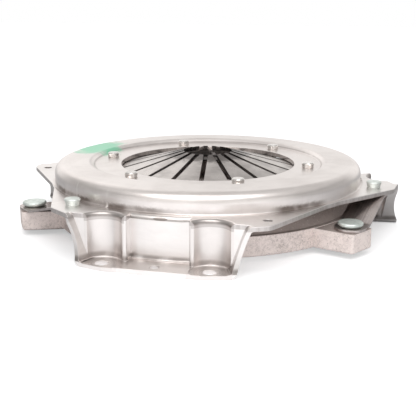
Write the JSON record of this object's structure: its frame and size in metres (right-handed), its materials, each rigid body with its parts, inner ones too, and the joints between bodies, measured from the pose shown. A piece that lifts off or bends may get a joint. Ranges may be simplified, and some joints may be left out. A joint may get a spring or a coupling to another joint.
{
  "type": "clutch pressure plate",
  "caption": "Clutch cover assembly: pressed steel cover with feet, slotted diaphragm spring and cast pressure plate hung on leaf straps.",
  "frame": {"origin": "on the clutch axis, in the plane where the feet of the cover bolt to the flywheel", "axes": "+Z along the clutch axis from the flywheel to the gearbox; -Y through the middle of one foot"},
  "size_m": [0.2815, 0.277, 0.0524],
  "materials": {
    "cover": "bright pressed steel, lightly oiled",
    "diaphragm_spring": "shot-peened spring steel",
    "pressure_plate": "rough cast, machined on the faces",
    "fulcrum_rings": "drawn wire",
    "fulcrum_rivets": "zinc plated",
    "cover_strap_rivets": "zinc plated",
    "lug_rivets": "zinc plated",
    "straps": "rolled spring steel"
  },
  "bodies": {
    "cover": {"cover": "cover", "fulcrum_ring_upper": "fulcrum_rings", "fulcrum_ring_lower": "fulcrum_rings", "fulcrum_rivet_1": "fulcrum_rivets", "fulcrum_rivet_2": "fulcrum_rivets", "fulcrum_rivet_3": "fulcrum_rivets", "fulcrum_rivet_4": "fulcrum_rivets", "fulcrum_rivet_5": "fulcrum_rivets", "fulcrum_rivet_6": "fulcrum_rivets", "cover_strap_rivet_1": "cover_strap_rivets", "cover_strap_rivet_2": "cover_strap_rivets", "cover_strap_rivet_3": "cover_strap_rivets", "strap_1_leaf_1": "straps", "strap_1_leaf_2": "straps", "strap_1_leaf_3": "straps", "strap_2_leaf_1": "straps", "strap_2_leaf_2": "straps", "strap_2_leaf_3": "straps", "strap_3_leaf_1": "straps", "strap_3_leaf_2": "straps", "strap_3_leaf_3": "straps"},
    "pressure_plate": {"pressure_plate": "pressure_plate", "lug_rivet_1": "lug_rivets", "lug_rivet_2": "lug_rivets", "lug_rivet_3": "lug_rivets"},
    "diaphragm_spring": {"diaphragm_spring": "diaphragm_spring"}
  },
  "joints": [
    {"name": "plate_lift", "type": "slide", "parent": "cover", "child": "pressure_plate", "axis": [0, 0, 1], "range_m": [0, 0.0065], "deforming": ["strap_1_leaf_1", "strap_1_leaf_2", "strap_1_leaf_3", "strap_2_leaf_1", "strap_2_leaf_2", "strap_2_leaf_3", "strap_3_leaf_1", "strap_3_leaf_2", "strap_3_leaf_3"]},
    {"name": "finger_travel", "type": "slide", "parent": "cover", "child": "diaphragm_spring", "axis": [0, 0, 1], "range_m": [-0.0197, 0], "deforming": ["diaphragm_spring"]}
  ],
  "couplings": [
    {"joint": "finger_travel", "follows": "plate_lift", "ratio": -3.03}
  ]
}
